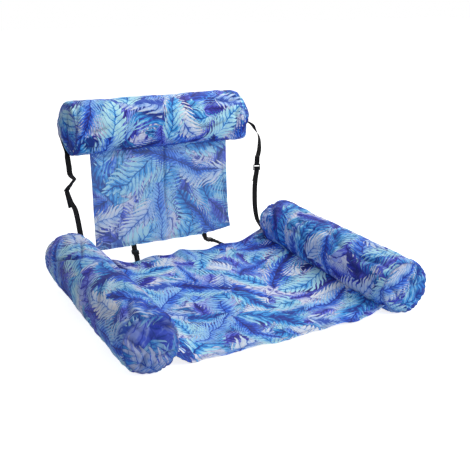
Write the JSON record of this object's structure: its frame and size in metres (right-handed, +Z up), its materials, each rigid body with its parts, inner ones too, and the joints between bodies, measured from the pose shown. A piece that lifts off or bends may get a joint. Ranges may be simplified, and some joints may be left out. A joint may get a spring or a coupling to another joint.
{
  "type": "inflatable pool chair",
  "caption": "Floating pool chair: two fabric-covered air bolsters as arms, a slung seat panel and a backrest with an air head bolster, tied and strapped with adjustable webbing.",
  "frame": {"origin": "on the floor, at the middle of the overall width and depth", "axes": "+X to the right as seen from in front of the chair, +Y from the sitter's feet to the backrest, +Z up"},
  "size_m": [1.0034, 1.0395, 0.573],
  "materials": {
    "bolster_cloth": "printed woven polyester over an air chamber",
    "panel_cloth": "printed woven polyester, two layers",
    "end_cloth": "printed woven polyester end panel",
    "chamber_vinyl": "soft glossy vinyl film",
    "valve_vinyl": "clear soft vinyl",
    "webbing": "black woven polypropylene webbing",
    "black_acetal": "black moulded acetal"
  },
  "bodies": {
    "seat": {"seat_panel": "panel_cloth", "left_arm_cover": "bolster_cloth", "left_arm_front_cap": "end_cloth", "left_arm_rear_cap": "end_cloth", "left_arm_bladder": "chamber_vinyl", "left_arm_valve": "valve_vinyl", "right_arm_cover": "bolster_cloth", "right_arm_front_cap": "end_cloth", "right_arm_rear_cap": "end_cloth", "right_arm_bladder": "chamber_vinyl", "right_arm_valve": "valve_vinyl", "left_lower_strap": "webbing", "left_seat_tie_strap": "webbing", "left_tie_prong": "black_acetal", "right_lower_strap": "webbing", "right_seat_tie_strap": "webbing", "right_tie_prong": "black_acetal"},
    "backrest": {"back_panel": "panel_cloth", "headrest_cover": "bolster_cloth", "headrest_left_cap": "end_cloth", "headrest_right_cap": "end_cloth", "headrest_bladder": "chamber_vinyl", "headrest_valve": "valve_vinyl", "left_upper_strap": "webbing", "left_back_tie_strap": "webbing", "right_upper_strap": "webbing", "right_back_tie_strap": "webbing"},
    "left_strap_adjuster": {"left_strap_adjuster": "black_acetal"},
    "right_strap_adjuster": {"right_strap_adjuster": "black_acetal"},
    "left_tie_socket": {"left_tie_socket": "black_acetal"},
    "right_tie_socket": {"right_tie_socket": "black_acetal"},
    "left_arm_valve_cap": {"left_arm_valve_cap": "valve_vinyl"},
    "left_arm_valve_flap": {"left_arm_valve_flap": "valve_vinyl"},
    "right_arm_valve_cap": {"right_arm_valve_cap": "valve_vinyl"},
    "right_arm_valve_flap": {"right_arm_valve_flap": "valve_vinyl"},
    "headrest_valve_cap": {"headrest_valve_cap": "valve_vinyl"},
    "headrest_valve_flap": {"headrest_valve_flap": "valve_vinyl"}
  },
  "joints": [
    {"name": "backrest_recline", "type": "hinge", "parent": "seat", "child": "backrest", "pos_m": [0, 0.3676, 0.036], "axis": [1, 0, 0], "range_deg": [-25, 70], "deforming": ["left_upper_strap", "right_upper_strap", "left_back_tie_strap", "right_back_tie_strap"]},
    {"name": "left_adjuster_tilt", "type": "hinge", "parent": "seat", "child": "left_strap_adjuster", "pos_m": [-0.36635, 0.33167, 0.30152], "axis": [0.8192, 0.5736, 0], "range_deg": [0, 30], "deforming": ["left_lower_strap"]},
    {"name": "right_adjuster_tilt", "type": "hinge", "parent": "seat", "child": "right_strap_adjuster", "pos_m": [0.38794, 0.36879, 0.28393], "axis": [0.9397, -0.342, 0], "range_deg": [0, 30], "deforming": ["right_lower_strap"]},
    {"name": "left_tie_release", "type": "slide", "parent": "seat", "child": "left_tie_socket", "axis": [0.2299, 0.9726, 0.0349], "range_m": [0, 0.02], "deforming": ["left_tie_prong"]},
    {"name": "right_tie_release", "type": "slide", "parent": "seat", "child": "right_tie_socket", "axis": [-0.4611, 0.8866, 0.0349], "range_m": [0, 0.02], "deforming": ["right_tie_prong"]},
    {"name": "left_arm_valve_cap_lift", "type": "hinge", "parent": "seat", "child": "left_arm_valve_cap", "pos_m": [-0.4128, 0.27454, 0.0949], "axis": [1, 0, 0], "range_deg": [0, 110]},
    {"name": "left_arm_valve_flap_open", "type": "hinge", "parent": "seat", "child": "left_arm_valve_flap", "pos_m": [-0.4128, 0.26454, 0.0922], "axis": [-1, 0, 0], "range_deg": [0, 60]},
    {"name": "right_arm_valve_cap_lift", "type": "hinge", "parent": "seat", "child": "right_arm_valve_cap", "pos_m": [0.4128, 0.27454, 0.0949], "axis": [1, 0, 0], "range_deg": [0, 110]},
    {"name": "right_arm_valve_flap_open", "type": "hinge", "parent": "seat", "child": "right_arm_valve_flap", "pos_m": [0.4128, 0.26454, 0.0922], "axis": [-1, 0, 0], "range_deg": [0, 60]},
    {"name": "headrest_valve_cap_lift", "type": "hinge", "parent": "backrest", "child": "headrest_valve_cap", "pos_m": [0.36875, 0.4256, 0.4862], "axis": [0, -1, 0], "range_deg": [0, 110]},
    {"name": "headrest_valve_flap_open", "type": "hinge", "parent": "backrest", "child": "headrest_valve_flap", "pos_m": [0.35875, 0.4256, 0.4835], "axis": [0, 1, 0], "range_deg": [0, 60]}
  ]
}
